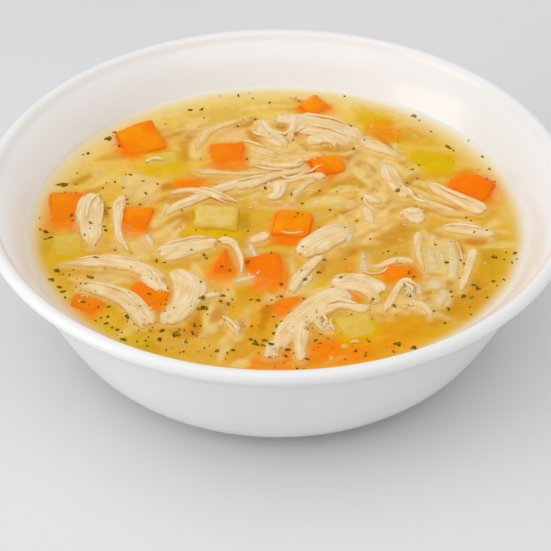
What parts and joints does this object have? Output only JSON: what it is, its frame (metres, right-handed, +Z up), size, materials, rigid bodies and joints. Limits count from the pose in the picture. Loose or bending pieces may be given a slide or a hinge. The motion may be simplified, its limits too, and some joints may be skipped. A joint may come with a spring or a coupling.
{
  "type": "bowl of chicken and rice soup",
  "caption": "Round white soup bowl of chicken and rice soup: pulled chicken, diced carrot and potato, rice grains and chopped herbs in a cloudy yellow broth.",
  "frame": {"origin": "on the table, under the middle of the bowl's foot", "axes": "+Z up out of the bowl; -Y is the near side as the bowl is looked into, +X is to the right"},
  "size_m": [0.18, 0.18, 0.0533],
  "materials": {
    "bowl": "glossy white glaze",
    "broth": "wet, cloudy yellow broth",
    "carrot": "wet, cooked carrot",
    "potato": "wet, cooked potato",
    "chicken": "moist, fibrous cooked chicken"
  },
  "bodies": {
    "root": {"bowl": "bowl", "broth": "broth", "carrot_01": "carrot", "carrot_02": "carrot", "carrot_03": "carrot", "carrot_04": "carrot", "carrot_05": "carrot", "carrot_06": "carrot", "carrot_07": "carrot", "carrot_08": "carrot", "carrot_09": "carrot", "carrot_10": "carrot", "carrot_11": "carrot", "carrot_12": "carrot", "carrot_13": "carrot", "carrot_14": "carrot", "chicken_01": "chicken", "chicken_02": "chicken", "chicken_03": "chicken", "chicken_04": "chicken", "chicken_05": "chicken", "chicken_06": "chicken", "chicken_07": "chicken", "chicken_08": "chicken", "chicken_09": "chicken", "chicken_10": "chicken", "chicken_11": "chicken", "chicken_12": "chicken", "chicken_13": "chicken", "chicken_14": "chicken", "chicken_15": "chicken", "chicken_16": "chicken", "chicken_17": "chicken", "chicken_18": "chicken", "chicken_19": "chicken", "chicken_20": "chicken", "chicken_21": "chicken", "chicken_22": "chicken", "chicken_23": "chicken", "chicken_24": "chicken", "chicken_25": "chicken", "chicken_26": "chicken", "chicken_27": "chicken", "chicken_28": "chicken", "chicken_heap_01": "chicken", "chicken_heap_02": "chicken", "chicken_heap_03": "chicken", "potato_01": "potato", "potato_02": "potato", "potato_03": "potato", "potato_04": "potato", "potato_05": "potato"}
  },
  "joints": []
}
